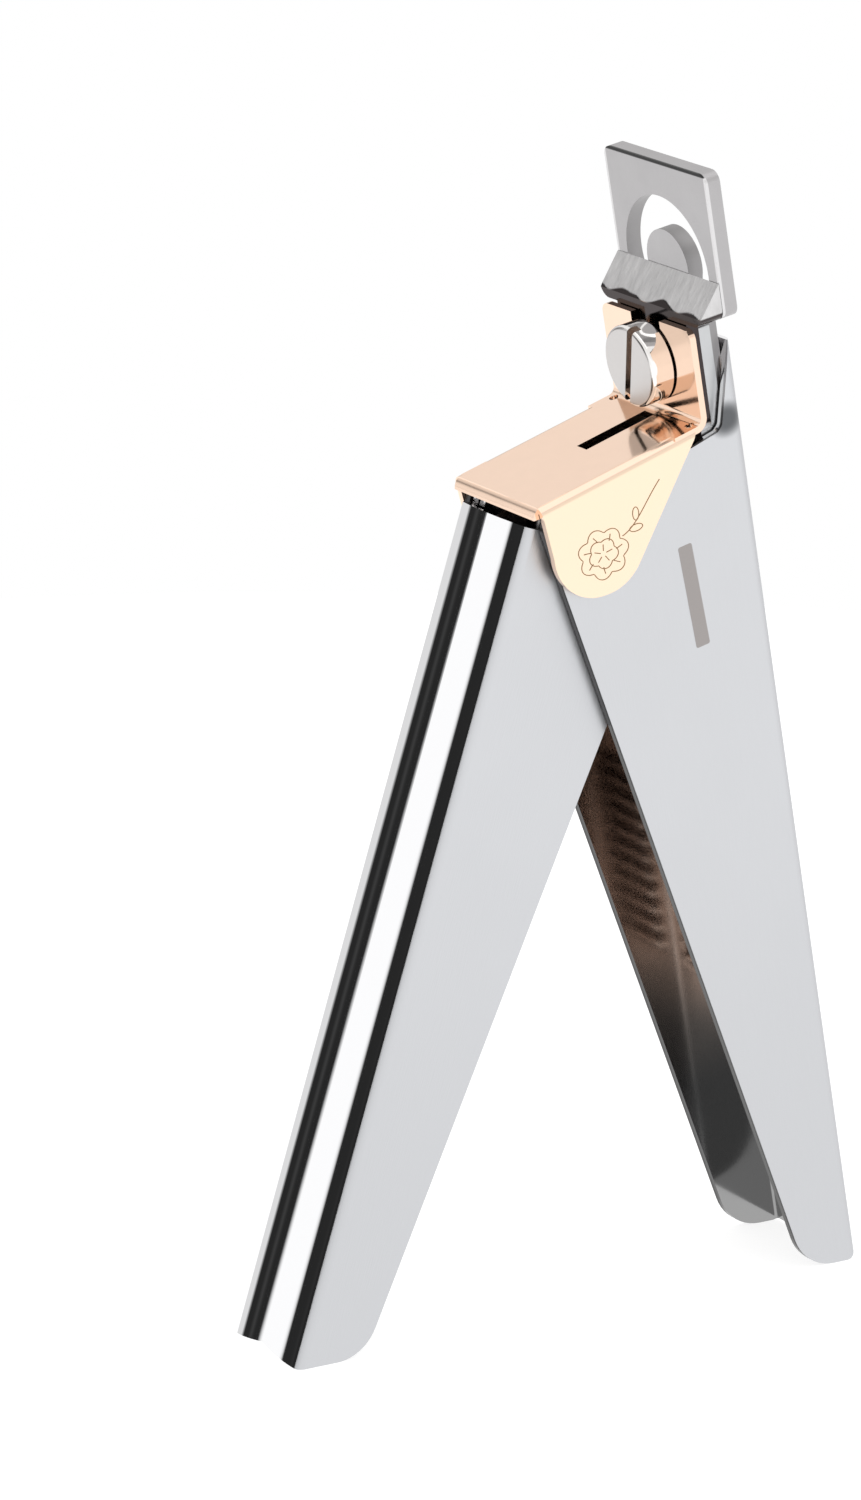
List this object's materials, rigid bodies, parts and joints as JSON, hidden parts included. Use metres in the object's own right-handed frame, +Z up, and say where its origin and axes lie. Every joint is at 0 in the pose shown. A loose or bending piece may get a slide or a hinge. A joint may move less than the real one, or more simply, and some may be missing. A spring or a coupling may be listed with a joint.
{
  "type": "artificial nail tip cutter",
  "caption": "Hand-held cutter with two hinged sheet-metal handles, a crescent opening in a thick head plate and a sliding bevelled blade under a folded cap.",
  "frame": {"origin": "on the ground under the middle of the tool's bounding box, with the tool standing on the toes of its two handles", "axes": "+Z up along the tool's height, +X from the inner handle towards the outer handle, +Y across the width, towards the far side plate"},
  "size_m": [0.079, 0.0204, 0.1362],
  "materials": {
    "satin_steel": "satin side plates with mirror-polished backs and insides",
    "inner_steel": "plain steel, machined",
    "spring_steel": "drawn spring wire",
    "plate_steel": "satin ground plate",
    "blade_steel": "coarse brushed hand-ground bevel",
    "polished_steel": "mirror polished",
    "rose_gold_plate": "polished rose-gold plating on steel sheet"
  },
  "bodies": {
    "body": {"body_handle": "satin_steel", "head_plate": "plate_steel", "head_rivets": "inner_steel", "cap_bracket": "rose_gold_plate", "pivot_pin": "inner_steel", "spacer_near": "inner_steel", "spacer_far": "inner_steel", "return_spring": "spring_steel"},
    "lever": {"lever_handle": "satin_steel", "drive_arm": "inner_steel"},
    "cutter": {"slide_carriage": "inner_steel", "blade": "blade_steel", "clamp_screw": "polished_steel", "guide_collar": "inner_steel"}
  },
  "joints": [
    {"name": "lever_hinge", "type": "hinge", "parent": "body", "child": "lever", "pos_m": [-0.00226, 0, 0.0943], "axis": [0, -1, 0], "range_deg": [0, 30], "stiffness_Nm_per_rad": 0.3, "springref_deg": -28.65, "deforming": ["return_spring"]},
    {"name": "cutter_slide", "type": "slide", "parent": "body", "child": "cutter", "axis": [-0.2045, 0, 0.9789], "range_m": [0, 0.0095]}
  ],
  "couplings": [
    {"joint": "cutter_slide", "follows": "lever_hinge", "m_per_rad": 0.017993}
  ]
}
